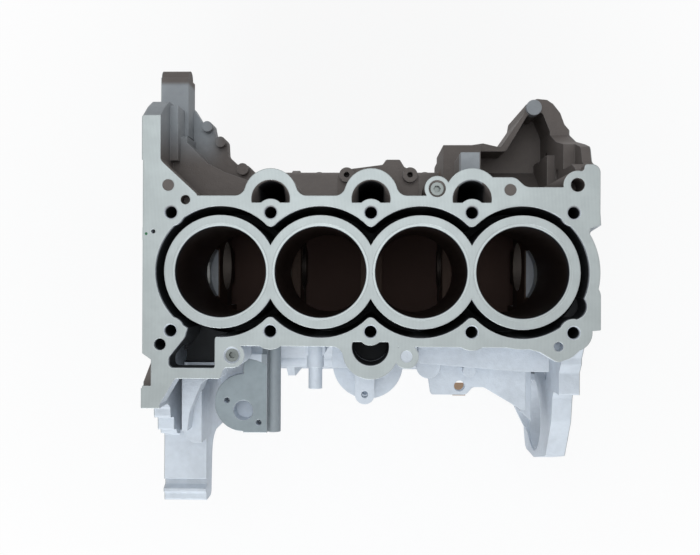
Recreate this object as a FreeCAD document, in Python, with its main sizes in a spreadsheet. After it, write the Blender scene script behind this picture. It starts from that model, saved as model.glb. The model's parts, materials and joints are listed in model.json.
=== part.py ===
import FreeCAD, Part
import Sketcher
import os
import re

# Bare four-cylinder in-line engine block: an open-deck aluminium casting with cast-in iron liners,
# five main bearing caps on dowels and bolts, screwed plugs and locating pins.
# X runs along the crankshaft from the timing end (-X) to the bell housing end (+X), Z is up.
# The casting is laid out from its deck: deck face at z 0, bore line at y 0. Every sub-part then gets
# the same Placement, which puts the origin on the crank axis at the middle main bearing.
# The exhaust side is +Y, with three oil drain ports. The intake side is -Y.

SIZES = {
    # cylinders
    "bore_pitch": 85,  # distance between neighbouring cylinders
    "liner_land": 3,  # gap between two neighbouring liners
    "bore_chamfer": 0.6,  # lead-in at the top of each bore
    "liner_wall": 2.5,  # iron wall of a liner
    "barrel_wall": 7,  # aluminium around a liner
    "barrel_length": 131,  # deck face to the lower end of the barrels
    "breather_radius": 11,  # hole through each bulkhead below the barrels
    "breather_below": 15,  # centre of those holes below the barrels
    # deck
    "deck_margin_front": 22,  # deck edge at the timing end, past the last head bolts
    "deck_margin_rear": 22.5,  # deck edge at the bell housing end, past the last head bolts
    "exhaust_wall": 8.8,  # deck beside the jacket on the exhaust side
    "intake_wall": 7.3,  # deck beside the jacket on the intake side
    "wall_depth": 98,  # height of the outer jacket walls
    "jacket_gap": 7.7,  # width of the water jacket
    "jacket_depth": 92,  # depth of the water jacket
    "jacket_round": 5,  # round of the jacket wall between two cylinders
    "rear_wall": 8.8,  # deck around the last cylinder's jacket
    "inlet_front": 20.5,  # deck edge to the pump inlet of the jacket
    "inlet_back": 60,  # deck edge to the far side of the pump inlet
    "inlet_out": 19,  # pump inlet of the jacket beyond the deck edge
    "inlet_depth": 60,  # depth of the pump inlet
    "pool_radius": 11.5,  # widening of the jacket by the last cylinder
    "pool_depth": 30,  # depth of that widening
    "strip_step_out": 29.5,  # start of the timing flange beyond the deck edge
    "strip_long": 39,  # timing flange beyond that step
    "strip_width": 12.5,  # timing flange at the deck
    "foot_out": 53.5,  # end of the timing flange beyond the deck edge
    "notch_top": 40,  # notch in the deck edge at the bell housing end
    "notch_low": 48,  # second notch
    "flange_depth": 24,  # thickness of the deck where nothing stands under it
    "boss_depth": 40,  # height of the small bosses under the deck
    "row_boss": 15.6,  # outer boss around an intake head bolt
    "plug_boss": 10.7,  # boss around a deck plug
    "plug_along": 13.2,  # exhaust deck plug from the middle of the third cylinder
    "plug_out": 6,  # exhaust deck plug beyond the deck edge
    "front_plug_along": 10.1,  # intake deck plug from the middle of the first cylinder
    "front_plug_out": 7.9,  # intake deck plug beyond the deck edge
    "pad_boss": 10.3,  # lobe with an ejector mark
    "pad_along": 12.1,  # ejector lobe from the middle of the third cylinder
    "pad_out": 8.1,  # ejector lobe beyond the deck edge
    "ring_boss": 11.9,  # boss around the dowel hole at the bell housing end
    "ring_along": 3,  # dowel hole past the last head bolts
    "ring_out": 9.2,  # that hole beyond the deck edge
    "ring_hole": 5.8,  # that hole
    "dowel_along": 12.5,  # small dowel hole before the last head bolt
    "dowel_hole": 4,  # small dowel hole
    "dowel_depth": 12,  # depth of a small dowel hole
    "mark_radius": 5,  # ejector mark
    "mark_depth": 0.4,  # ejector mark
    "cover_hole": 3.4,  # timing cover screw hole
    "bell_hole": 5.5,  # bell housing bolt hole
    # head bolts
    "bolt_offset": 2.25,  # head bolt row beyond the barrels
    "bolt_radius": 5.1,  # head bolt hole
    "bolt_mouth": 0.8,  # countersink of a head bolt hole
    "bolt_boss": 11.6,  # boss around a corner head bolt hole
    "bolt_depth": 84,  # depth of a head bolt hole
    # oil drain ports beside the bolts
    "port_offset": 11.4,  # port centre beyond the bolt row
    "port_radius": 16.4,  # port mouth
    "port_throat": 10.8,  # half width of the port below its mouth
    "port_bore": 14,  # round outer wall of the port below its mouth
    "port_shift": 1.8,  # centre of that wall beyond the port centre
    "port_taper": 16,  # depth of the tapered mouth
    "port_land": 8.35,  # straight side of the port beyond the bolt row
    "port_fall": 140,  # deck face to the wider passage through the bulkhead
    "lobe_offset": 14.75,  # centre of a port lobe beyond the bolt row
    "lobe_radius": 22.7,  # lobe of the deck around a port
    "lobe_round": 9,  # round where a lobe leaves the deck edge
    "return_offset": 13.15,  # return port centre beyond the bolt row
    "return_radius": 15.7,  # return port
    "return_land": 8.65,  # straight side of the return port beyond the bolt row
    "return_lobe_offset": 16.75,  # centre of the return lobe beyond the bolt row
    "return_lobe_radius": 23.6,  # lobe of the deck around the return port
    "return_depth": 62,  # height of the return lobe
    # crankcase
    "deck_height": 205,  # crank axis to the deck face
    "crank_offset": 8,  # crank axis beside the bore line
    "main_radius": 26,  # main bearing bore
    "bulkhead": 22,  # thickness of a main bearing bulkhead
    "case_radius": 88,  # inside of the crankcase around the crank
    "case_room_exhaust": 10,  # skirt beyond the swing of the crank
    "case_room_intake": 19,  # skirt beyond the swing of the crank
    "case_wall": 7,  # wall of the skirt
    "bay_top": 6,  # top of the straight part of a bay, above the crank axis
    "case_shoulder": 40,  # top of the vertical skirt above the bays
    "rib_thick": 8,  # rib outside each inner bulkhead
    "rail_drop": 60,  # crank axis down to the sump face
    "rail_out_exhaust": 10,  # sump rail beyond the skirt
    "rail_out_intake": 11,  # sump rail beyond the skirt
    "rail_inset": 9,  # row of sump rail holes from the rail edge
    "rail_boss_tall": 30,  # boss around a sump rail hole
    "rail_thick": 11,  # sump rail
    "rail_boss": 9,  # boss around a sump rail hole
    "rail_hole": 3.4,  # sump rail hole
    "rail_hole_depth": 18,  # depth of a sump rail hole
    "rail_pitch": 60,  # distance between sump rail holes
    # ends
    "timing_margin": 24,  # timing cover face, past the last head bolts
    "front_flange": 15,  # thickness of the timing end flange
    "housing_margin": 23,  # bell housing face, past the last head bolts
    "rear_flange": 19,  # thickness of the bell housing flange
    "seal_radius": 45,  # crank seal bore in the rear flange
    "seal_depth": 10,  # depth of the crank seal bore
    "lug_drop": 57,  # deck face to the mount lug
    "lug_out": 46,  # mount lug beyond the timing flange
    "lug_width": 25.5,  # mount lug
    "web_drop": 42,  # deck face to the web beside the timing flange
    "shelf_drop": 80,  # deck face to the shelf outside that web
    "shelf_thick": 14,  # thickness of that shelf
    "arm_out": 35.5,  # start of the mount arm beyond the timing flange
    "arm_long": 63,  # mount arm
    "arm_drop": 74,  # deck face to the mount arm
    "arm_width": 40,  # mount arm
    "shoulder_drop": 56,  # deck face to the step behind the exhaust shoulder of that flange
    "shoulder_thick": 8.5,  # exhaust shoulder of that flange
    "bell_drop": 31,  # deck face to the shoulders of the bell housing flange
    "bell_out_exhaust": 66,  # bell housing flange beyond the sump rail
    "bell_out_intake": 85,  # bell housing flange beyond the sump rail
    "block_out": 49.5,  # square block beyond the deck edge
    "block_drop": 70,  # deck face to that block
    "screw_out": 20.5,  # screw bosses beyond the deck edge
    "screw_hole": 2.5,  # screw hole in those bosses
    "screw_drop": 22,  # deck face to the screw bosses
    "peak_before": 43,  # mount boss before the bell housing face
    "peak_out": 108.5,  # mount boss beyond the deck edge
    "flare_drop": 112,  # deck face to the flared wall
    "flare_deep": 46,  # hollow behind the flared wall
    "disc_along": 12.5,  # machined pad from the middle of the first cylinder
    "disc_out": 55,  # machined pad beyond the deck edge
    "disc_radius": 26,  # machined pad
    "disc_side": 21.5,  # straight side of the machined pad
    "disc_drop": 46,  # deck face to the machined pad
    "disc_recess": 9,  # recess in the machined pad
    "disc_recess_depth": 17,  # recess in the machined pad
    "disc_screw": 2.6,  # screw hole in the machined pad
    "column_radius": 6.3,  # half-round column
    "column_drop": 58,  # deck face to the axis of that column
    "stub_radius": 7.5,  # hose stub
    "stub_drop": 36,  # deck face to the axis of the hose stub
    "plate_out": 48,  # web plate beyond the deck edge
    "plate_drop": 58,  # deck face to the web plate
    "plate_thick": 9,  # web plate
    "starter_radius": 36,  # starter bore
    "starter_wall": 9,  # wall of the starter mount
    "starter_top": 120,  # deck face to the top of the starter plate
    "starter_side": 37.5,  # starter bore beyond the square block
    "starter_lift": 15,  # starter bore above the crank axis
    "starter_long": 45,  # starter mount
    "starter_seat": 17,  # length of the fitted part of the starter bore
    # main bearing caps
    "cap_margin": 10,  # cap beyond its bolts
    "cap_under": 18,  # thickness of a cap under the bore
    "cap_shoulder": 26,  # crank axis down to the bolt seats
    "cap_foot": 21,  # half width of the foot
    "cap_bolt_out": 8,  # cap bolt beyond the main bearing bore
    "cap_bolt_radius": 5,  # bolt shank
    "cap_bolt_fit": 0.3,  # clearance of a bolt in its cap
    "cap_bolt_reach": 52,  # thread length above the crank axis
    "cap_head_radius": 8.2,  # hexagon head, across corners
    "cap_head_tall": 9,  # hexagon head
    "cap_collar": 9.6,  # flange under the head
    "cap_collar_thick": 2.5,  # flange under the head
    "cap_dowel_radius": 7.5,  # ring dowel
    "cap_dowel_long": 12,  # ring dowel
    # plugs and pins
    "plug_radius": 5.6,  # screwed deck plug
    "plug_mouth": 7.2,  # countersink above a deck plug
    "plug_sunk": 2,  # top of the plug below the deck
    "plug_long": 11,  # deck plug
    "plug_socket": 3,  # hexagon socket, across corners
    "plug_socket_depth": 5,  # hexagon socket
    "gallery_radius": 7,  # main oil gallery
    "gallery_boss": 13,  # boss around the main oil gallery
    "gallery_out": 21,  # main oil gallery beyond the deck edge
    "gallery_drop": 150,  # deck face to the gallery
    "gallery_plug_long": 12,  # gallery end plug
    "drain_along": 23.5,  # coolant drain plug before the middle of the last cylinder
    "drain_lift": 8,  # coolant drain plug above the bottom of the jacket
    "drain_radius": 6,  # drain plug thread
    "drain_head": 9.5,  # drain plug head, across corners
    "drain_head_tall": 7,  # drain plug head
    "pin_radius": 5,  # locating pin
    "pin_in": 12,  # part of a pin in the casting
    "pin_out": 8,  # part of a pin that stands out
}
# places worked out from the sizes
PLACES = {
    "bore_radius": "(bore_pitch - liner_land) / 2 - liner_wall",
    "barrel_radius": "bore_radius + liner_wall + barrel_wall",
    "breather_drop": "barrel_length + breather_below",
    "deck_front": "2 * bore_pitch + deck_margin_front",
    "deck_rear": "2 * bore_pitch + deck_margin_rear",
    "jacket_radius": "barrel_radius + jacket_gap",
    "rear_skin": "jacket_radius + rear_wall",
    "inlet_left": "deck_front - inlet_front",
    "inlet_right": "deck_front - inlet_back",
    "plug_x": "bore_pitch / 2 + plug_along",
    "front_plug_x": "0 - 1.5 * bore_pitch + front_plug_along",
    "pad_x": "bore_pitch / 2 - pad_along",
    "ring_x": "2 * bore_pitch + ring_along",
    "dowel_x": "2 * bore_pitch - dowel_along",
    "bolt_row": "barrel_radius + bolt_offset",
    "port_place": "bolt_row + port_offset",
    "port_shoulder": "bolt_row + port_land",
    "lobe_place": "bolt_row + lobe_offset",
    "return_place": "bolt_row + return_offset",
    "return_shoulder": "bolt_row + return_land",
    "return_lobe_place": "bolt_row + return_lobe_offset",
    "case_exhaust": "case_radius + case_room_exhaust",
    "case_intake": "case_radius + case_room_intake",
    "case_slope": "bay_top + case_shoulder",
    "rail_exhaust": "case_exhaust + rail_out_exhaust",
    "rail_intake": "case_intake + rail_out_intake",
    "front_face": "2 * bore_pitch + timing_margin",
    "rear_face": "2 * bore_pitch + housing_margin",
    "bell_exhaust": "crank_offset + rail_exhaust + bell_out_exhaust",
    "bell_intake": "0 - crank_offset + rail_intake + bell_out_intake",
    "peak_x": "rear_face - peak_before",
    "disc_x": "0 - 1.5 * bore_pitch + disc_along",
    "starter_deep": "deck_height - starter_lift",
    "cap_tall": "main_radius + cap_under",
    "cap_bolt_place": "main_radius + cap_bolt_out",
    "drain_place": "1.5 * bore_pitch - drain_along",
    "drain_drop": "jacket_depth - drain_lift",
    "exhaust_edge": "jacket_radius + exhaust_wall",
    "intake_edge": "jacket_radius + intake_wall",
    "inlet_reach": "intake_edge + inlet_out",
    "strip_step": "exhaust_edge + strip_step_out",
    "strip_top": "strip_step + strip_long",
    "foot_reach": "intake_edge + foot_out",
    "plug_y": "exhaust_edge + plug_out",
    "front_plug_y": "0 - intake_edge - front_plug_out",
    "pad_y": "0 - intake_edge - pad_out",
    "ring_y": "exhaust_edge + ring_out",
    "lug_reach": "strip_top + lug_out",
    "arm_start": "foot_reach + arm_out",
    "arm_reach": "arm_start + arm_long",
    "block_reach": "intake_edge + block_out",
    "peak_y": "exhaust_edge + peak_out",
    "disc_y": "0 - intake_edge - disc_out",
    "plate_reach": "intake_edge + plate_out",
    "starter_out": "block_reach + starter_side",
    "cap_half": "cap_bolt_place + cap_margin",
    "gallery_place": "intake_edge + gallery_out",
}

doc = FreeCAD.newDocument("engine_block")
sheet = doc.addObject("Spreadsheet::Sheet", "Sizes")
for row, (name, value) in enumerate(SIZES.items(), 1):
    sheet.set(f"A{row}", name)
    sheet.set(f"B{row}", str(value))
    sheet.setAlias(f"B{row}", name)
doc.recompute()

Vector = FreeCAD.Vector
UP = FreeCAD.Rotation()
# a sketch drawn in Y and Z, pushed along +X, and one drawn in X and Z, pushed along -Y
ALONG_X = FreeCAD.Rotation(Vector(0, 1, 0), Vector(0, 0, 1), Vector(1, 0, 0))
ALONG_Y = FreeCAD.Rotation(Vector(1, 0, 0), Vector(0, 0, 1), Vector(0, -1, 0))


def cells(text):
    # the same expression with each size written as its cell, and each place as the sizes it comes from
    def written(word):
        if word[0] in PLACES:
            return f"({cells(PLACES[word[0]])})"
        return f"Sizes.{word[0]}" if word[0] in SIZES else word[0]

    return re.sub(r"[a-z_]+", written, str(text))


def number(text):
    return float(sheet.evalExpression(cells(text)))


def bind(item, **sizes):
    for prop, text in sizes.items():
        item.setExpression(prop, cells(text))


def put(item, x, y, z, turn=UP):
    item.Placement = FreeCAD.Placement(Vector(), turn)
    for axis, text in zip("xyz", (x, y, z)):
        item.setExpression(f"Placement.Base.{axis}", cells(text))
    return item


def box(name, x_from, x_to, y_from, y_to, z_from, z_to):
    item = doc.addObject("Part::Box", name)
    bind(item, Length=f"({x_to}) - ({x_from})", Width=f"({y_to}) - ({y_from})")
    bind(item, Height=f"({z_to}) - ({z_from})")
    return put(item, x_from, y_from, z_from)


def upright(name, radius, x, y, z_from, z_to):
    item = doc.addObject("Part::Cylinder", name)
    bind(item, Radius=radius, Height=f"({z_to}) - ({z_from})")
    return put(item, x, y, z_from)


def lengthwise(name, radius, y, z, x_from, x_to):
    item = doc.addObject("Part::Cylinder", name)
    bind(item, Radius=radius, Height=f"({x_to}) - ({x_from})")
    return put(item, x_from, y, z, ALONG_X)


def crosswise(name, radius, x, z, y_from, y_to):
    item = doc.addObject("Part::Cylinder", name)
    bind(item, Radius=radius, Height=f"({y_to}) - ({y_from})")
    return put(item, x, y_to, z, ALONG_Y)


def taper(name, low_radius, high_radius, x, y, z_from, z_to):
    item = doc.addObject("Part::Cone", name)
    bind(item, Radius1=low_radius, Radius2=high_radius, Height=f"({z_to}) - ({z_from})")
    return put(item, x, y, z_from)


def fuse(name, items, refine=True):
    item = doc.addObject("Part::MultiFuse", name)
    item.Shapes = items
    item.Refine = refine
    return item


def cut(name, base, tools, refine=False):
    item = doc.addObject("Part::Cut", name)
    item.Base = base
    item.Tool = tools[0] if len(tools) == 1 else fuse(name + "_tools", tools, False)
    item.Refine = refine
    return item


def rounded(name, base, wanted):
    # wanted(edge) gives the radius of an edge's round, or 0
    doc.recompute()
    edges = [(i, wanted(edge)) for i, edge in enumerate(base.Shape.Edges, 1)]
    item = doc.addObject("Part::Fillet", name)
    item.Base = base
    item.Edges = [(i, radius, radius) for i, radius in edges if radius]
    return item


def prism(name, corners, start, end, turn=UP):
    # a prism on a sketch of corners (across, up, round), pushed from start to end
    points = [Vector(number(a), number(b), 0) for a, b, _ in corners]
    count = len(points)
    sketch = doc.addObject("Sketcher::SketchObject", name + "_sketch")
    sides = [Part.LineSegment(points[i], points[(i + 1) % count]) for i in range(count)]
    sketch.addGeometry(sides, False)
    joins = [Sketcher.Constraint("Coincident", i, 2, (i + 1) % count, 1) for i in range(count)]
    for i, point in enumerate(points):
        joins.append(Sketcher.Constraint("DistanceX", -1, 1, i, 1, point.x))
        joins.append(Sketcher.Constraint("DistanceY", -1, 1, i, 1, point.y))
    sketch.addConstraint(joins)
    for i, (across, up, _) in enumerate(corners):
        sketch.setExpression(f"Constraints[{count + 2 * i}]", cells(across))
        sketch.setExpression(f"Constraints[{count + 2 * i + 1}]", cells(up))
    item = doc.addObject("Part::Extrusion", name)
    item.Base = sketch
    item.DirMode = "Normal"
    item.Solid = True
    bind(item, LengthFwd=f"({end}) - ({start})")
    if turn == UP:
        put(sketch, 0, 0, start, turn)
    elif turn == ALONG_X:
        put(sketch, start, 0, 0, turn)
    else:
        put(sketch, 0, end, 0, turn)
    rounds = [(point, number(r)) for point, (_, _, r) in zip(points, corners) if number(r)]
    if not rounds:
        return item
    back = turn.inverted()

    def corner_round(edge):
        ends = [back.multVec(vertex.Point) for vertex in edge.Vertexes]
        if len(ends) < 2 or (ends[0] - ends[1]).z == 0:
            return 0
        near = [r for p, r in rounds if all(abs(e.x - p.x) + abs(e.y - p.y) < 1e-3 for e in ends)]
        return near[0] if near else 0

    return rounded(name + "_rounded", item, corner_round)


cylinders = [f"({i} - 1.5) * bore_pitch" for i in range(4)]
bulkheads = [f"({i} - 2) * bore_pitch" for i in range(5)]
crank = ("crank_offset", "-deck_height")
sump = "-deck_height - rail_drop"
front_pins = [("strip_top - 20", "-60"), ("-foot_reach + 14", "-60")]
rear_pins = [("exhaust_edge + 10", "-120"), ("-intake_edge + 12", "-120")]
screw_places = ["-21.4", "33.8"]
cover_rows = ["-38", "-101", "-180"]
# bell housing bolts in pairs: half the distance between them, and their height
bell_bolts = [("85", "-82"), ("108", "-130"), ("105", "-240")]


def jacket_tool():
    # the water space: a band around the barrels, pinched by the bolt bosses, with a pump inlet
    band = [upright("band", "jacket_radius", x, 0, "-jacket_depth", 1) for x in cylinders]
    inlet = prism(
        "inlet",
        [
            ("-deck_front + 42", "-30", 0),
            ("-deck_front + 34", "-56", 6),
            ("-inlet_left", "-inlet_reach + 9", 6),
            ("-inlet_left", "-inlet_reach", 4),
            ("-inlet_right", "-inlet_reach", 2),
            ("-inlet_right", "-intake_edge + 6", 4),
            ("-inlet_right + 16", "-30", 0),
        ],
        "-inlet_depth",
        1,
    )
    pool = upright("pool", "pool_radius", "1.5 * bore_pitch + 42", -28, "-pool_depth", 1)
    water = fuse("water", band + [inlet, pool])
    solid = [upright("barrel", "barrel_radius", x, 0, "-barrel_length", 2) for x in cylinders]
    for x in (bulkheads[0], bulkheads[4]):
        solid.append(upright("boss", "bolt_boss", x, "bolt_row", "-barrel_length", 2))
        solid.append(upright("boss", "bolt_boss", x, "-bolt_row", "-barrel_length", 2))
    space = cut("space", water, solid)
    cusp = (number("jacket_radius") ** 2 - number("bore_pitch / 2") ** 2) ** 0.5
    cusps = [Vector(number(x), side * cusp, 0) for x in bulkheads[1:4] for side in (-1, 1)]

    def cusp_round(edge):
        ends = [vertex.Point for vertex in edge.Vertexes]
        if len(ends) < 2 or abs(ends[0].z - ends[1].z) < 1:
            return 0
        foot = Vector(ends[0].x, ends[0].y, 0)
        return number("jacket_round") if min(foot.distanceToPoint(c) for c in cusps) < 0.1 else 0

    return rounded("jacket", space, cusp_round)


def deck_columns(low_wall, low_lobe, low_boss):
    # the upright walls, lobes and bosses that end in the deck face, each down to its own depth
    walls = [
        box("core", "-deck_front", "1.5 * bore_pitch", "-intake_edge", "exhaust_edge", low_wall, 0),
        upright("rear_skin", "rear_skin", "1.5 * bore_pitch", 0, low_wall, 0),
        upright("return_lobe", "return_lobe_radius", 0, "-return_lobe_place", low_boss, 0),
        upright("plug_boss", "plug_boss", "plug_x", "plug_y", low_boss, 0),
        upright("front_plug_boss", "plug_boss", "front_plug_x", "front_plug_y", low_boss, 0),
        upright("intake_pad", "pad_boss", "pad_x", "pad_y", low_boss, 0),
        upright("ring_boss", "ring_boss", "ring_x", "ring_y", low_wall, 0),
        upright("corner_boss", "row_boss", "2 * bore_pitch", "-bolt_row", low_wall, 0),
        upright("corner_boss", "row_boss", "-2 * bore_pitch", "-bolt_row", low_wall, 0),
        upright("corner_boss", "row_boss", "2 * bore_pitch", "bolt_row", low_wall, 0),
        upright("corner_boss", "row_boss", "-2 * bore_pitch", "bolt_row", low_wall, 0),
    ]
    for x in bulkheads[1:4]:
        walls.append(upright("lobe", "lobe_radius", x, "lobe_place", low_lobe, 0))
        walls.append(upright("intake_boss", "row_boss", x, "-bolt_row", low_wall, 0))
    return walls


def deck_plate():
    # the flange under the deck face, one thickness all over, so that its lobes blend into its edge
    walls = deck_columns("-flange_depth", "-flange_depth", "-flange_depth")
    exhaust_rear = [
        ("bore_pitch + 3", "20", 0),
        ("bore_pitch + 3", "exhaust_edge + 15.5", 0),
        ("bore_pitch + 36", "exhaust_edge + 15.5", 9),
        ("bore_pitch + 45", "exhaust_edge + 7.2", 9),
        ("ring_x - ring_boss + 1", "exhaust_edge + 7.2", 4),
        ("ring_x", "exhaust_edge + 20", 3),
        ("ring_x + 5", "ring_y + ring_boss", 3),
        ("ring_x + 6", "exhaust_edge + 26.5", 2),
        ("deck_rear - 0.7", "exhaust_edge + 26.5", 7),
        ("deck_rear - 0.7", "notch_top", 0),
        ("deck_rear - 9", "notch_top - 3", 2),
        ("deck_rear - 12", "20", 0),
    ]
    intake_rear = [
        ("deck_rear - 12", "-8", 0),
        ("deck_rear", "-10", 12),
        ("deck_rear", "-notch_low", 1),
        ("deck_rear - 9", "-notch_low - 1", 1),
        ("deck_rear - 10", "-notch_low - 10", 8),
        ("deck_rear - 24", "-intake_edge - 8", 12),
        ("dowel_x - 1", "-intake_edge - 12.5", 6),
        ("dowel_x - 15", "-intake_edge - 4", 10),
        ("dowel_x - 33", "-intake_edge + 1", 0),
        ("dowel_x - 33", "-10", 0),
    ]
    front_exhaust = [
        ("-deck_front", "45", 0),
        ("-deck_front", "strip_step", 0),
        ("-deck_front - 3", "strip_step + 1", 0),
        ("-deck_front - 3", "strip_top", 2),
        ("-deck_front + strip_width", "strip_top", 4),
        ("-deck_front + strip_width", "strip_step + 1", 9),
        ("-deck_front + strip_width + 33", "exhaust_edge", 9),
        ("-deck_front + strip_width + 33", "45", 0),
    ]
    front_intake = [
        ("front_plug_x", "-45", 0),
        ("-deck_front", "-45", 0),
        ("-deck_front - 2", "-54", 4),
        ("-deck_front - 2", "-intake_edge - 4", 8),
        ("-deck_front + 6", "-intake_edge - 15", 3),
        ("-deck_front + 6", "-intake_edge - 35", 2),
        ("-deck_front - 3", "-intake_edge - 36.5", 0),
        ("-deck_front - 3", "-foot_reach", 1),
        ("-deck_front + 11", "-foot_reach", 6),
        ("-deck_front + 26", "-inlet_reach - 9", 3),
        ("-deck_front + 64.5", "-inlet_reach - 9", 3),
        ("front_plug_x - 7", "front_plug_y - plug_boss", 4),
        ("front_plug_x", "front_plug_y - plug_boss", 0),
    ]
    ear = [
        ("-deck_front + 2", "20", 0),
        ("-deck_front - 2.2", "26", 4),
        ("-deck_front - 2.2", "38", 4),
        ("-deck_front + 2", "44", 0),
    ]
    walls += [
        prism("exhaust_rear", exhaust_rear, "-flange_depth", 0),
        prism("intake_rear", intake_rear, "-flange_depth", 0),
        prism("front_exhaust", front_exhaust, "-flange_depth", 0),
        prism("front_intake", front_intake, "-flange_depth", 0),
        prism("ear", ear, "-flange_depth", 0),
    ]
    plate = fuse("plate", walls)
    spots = [(f"{x} + {side} * lobe_radius", "exhaust_edge") for x in bulkheads[1:3] for side in (-1, 1)]
    spots.append(("-return_lobe_radius", "-intake_edge"))
    targets = [Vector(number(a), number(b), 0) for a, b in spots]

    def lobe_round(edge):
        ends = [vertex.Point for vertex in edge.Vertexes]
        if len(ends) < 2 or abs(ends[0].z - ends[1].z) < 1 or max(p.z for p in ends) < -1e-6:
            return 0
        near = [t for t in targets if Vector(ends[0].x, ends[0].y, 0).distanceToPoint(t) < 3]
        return number("lobe_round") if near else 0

    return rounded("plate_rounded", plate, lobe_round)


def crankcase():
    # skirt, sump rail and the mass around the bulkheads, as one profile along the crank
    profile = [
        ("exhaust_edge", "-wall_depth + 20", 0),
        ("exhaust_edge", "-wall_depth", 12),
        ("crank_offset + case_exhaust", "-deck_height + case_slope", 26),
        ("crank_offset + case_exhaust", sump, 0),
        ("crank_offset - case_intake", sump, 0),
        ("crank_offset - case_intake", "-deck_height + case_slope", 26),
        ("-intake_edge", "-wall_depth", 12),
        ("-intake_edge", "-wall_depth + 20", 0),
    ]
    rail = box(
        "rail", "-front_face", "rear_face", "crank_offset - rail_intake", "crank_offset + rail_exhaust",
        sump, sump + " + rail_thick",
    )
    gallery = lengthwise(
        "gallery_boss", "gallery_boss", "-gallery_place", "-gallery_drop", "-front_face", "rear_face"
    )
    parts = [prism("case", profile, "-front_face", "rear_face", ALONG_X), rail, gallery]
    for i in range(7):
        x = f"({i} - 3) * rail_pitch"
        for y in ("crank_offset - rail_intake + rail_inset", "crank_offset + rail_exhaust - rail_inset"):
            parts.append(upright("rail_boss", "rail_boss", x, y, sump, sump + " + rail_boss_tall"))
    intake_rib = [
        ("-intake_edge + 2", "-wall_depth + 4", 0),
        ("crank_offset - rail_intake", "-deck_height + 20", 4),
        ("crank_offset - rail_intake", sump, 0),
        ("-intake_edge + 2", sump, 0),
    ]
    exhaust_rib = [
        ("crank_offset + case_exhaust - 8", "-deck_height + case_slope - 4", 0),
        ("crank_offset + rail_exhaust", "-deck_height - 20", 4),
        ("crank_offset + rail_exhaust", sump, 0),
        ("crank_offset + case_exhaust - 8", sump, 0),
    ]
    for x in bulkheads[1:4]:
        for name, rib in (("intake_rib", intake_rib), ("exhaust_rib", exhaust_rib)):
            parts.append(prism(name, rib, f"{x} - rib_thick / 2", f"{x} + rib_thick / 2", ALONG_X))
    return parts


def crankcase_bays():
    # room for each crank throw between two bulkheads, open to the sump
    bays = []
    for x in cylinders:
        start = f"{x} - (bore_pitch - bulkhead) / 2"
        end = f"{x} + (bore_pitch - bulkhead) / 2"
        bays.append(lengthwise("throw", "case_radius", *crank, start, end))
        bays.append(
            box(
                "bay", start, end, "crank_offset - case_intake + case_wall",
                "crank_offset + case_exhaust - case_wall", sump + " - 1", "-deck_height + bay_top",
            )
        )
    return bays


def front_flange():
    # the timing cover flange: a plate across the front end, with the mount arm's steps in its edge
    edge = [
        ("strip_top", "0", 0),
        ("strip_top + 10", "-14", 3),
        ("strip_top + 18", "-30", 5),
        ("strip_top + 18", "-lug_drop", 4),
        ("lug_reach", "-lug_drop", 6),
        ("lug_reach", "-lug_drop - 30", 12),
        ("strip_top + 16", "-lug_drop - 75", 20),
        ("crank_offset + rail_exhaust", "-deck_height", 20),
        ("crank_offset + rail_exhaust", sump, 0),
        ("crank_offset - rail_intake", sump, 0),
        ("crank_offset - rail_intake - 12", "-deck_height", 20),
        ("-arm_start - 6", "-arm_drop - 60", 20),
        ("-arm_start - 6", "-arm_drop", 0),
        ("-arm_start", "-arm_drop", 2),
        ("-arm_start + 3", "-arm_drop + 13", 1),
        ("-arm_start + 7", "-arm_drop + 14", 1.5),
        ("-arm_start + 8", "-arm_drop + 23", 1.5),
        ("-arm_start + 20", "-arm_drop + 24", 2),
        ("-arm_start + 21", "-arm_drop + 36", 3),
        ("-foot_reach - 5", "-arm_drop + 37", 4),
        ("-foot_reach", "-arm_drop + 48", 3),
        ("-foot_reach", "0", 0),
    ]
    return prism("front_flange", edge, "-front_face", "-front_face + front_flange", ALONG_X)


def rear_flange():
    # the bell housing flange, with shoulders around the gearbox bolts and the starter bore
    edge = [
        ("exhaust_edge + 24", "-12", 0),
        ("exhaust_edge + 33", "-bell_drop", 5),
        ("exhaust_edge + 47", "-bell_drop - 5", 8),
        ("exhaust_edge + 52", "-bell_drop - 22", 8),
        ("exhaust_edge + 60", "-bell_drop - 55", 12),
        ("exhaust_edge + 76", "-bell_drop - 93", 14),
        ("exhaust_edge + 96", "-bell_drop - 118", 10),
        ("bell_exhaust", "-deck_height + 18", 14),
        ("bell_exhaust", "-deck_height - 22", 16),
        ("crank_offset + rail_exhaust + 10", sump, 0),
        ("crank_offset - rail_intake - 10", sump, 0),
        ("-bell_intake", "-deck_height - 30", 16),
        ("-bell_intake", "-deck_height + 20", 16),
        ("-bell_intake + 14", "-deck_height + 78", 8),
        ("-block_reach - 30", "-deck_height + 103", 10),
        ("-block_reach - 7", "-deck_height + 108", 6),
        ("-block_reach", "-deck_height + 112", 3),
        ("-block_reach", "-block_drop", 2),
        ("-block_reach + 21", "-block_drop", 4),
        ("-block_reach + 29", "-block_drop + 7", 3),
        ("-block_reach + 35", "-block_drop + 8", 2),
        ("-block_reach + 45", "-block_drop + 16", 4),
        ("-intake_edge + 6", "-bell_drop - 6", 4),
        ("notch_top - 4", "-bell_drop - 6", 4),
        ("notch_top", "-2", 0),
    ]
    return prism("rear_flange", edge, "rear_face - rear_flange", "rear_face", ALONG_X)


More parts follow.
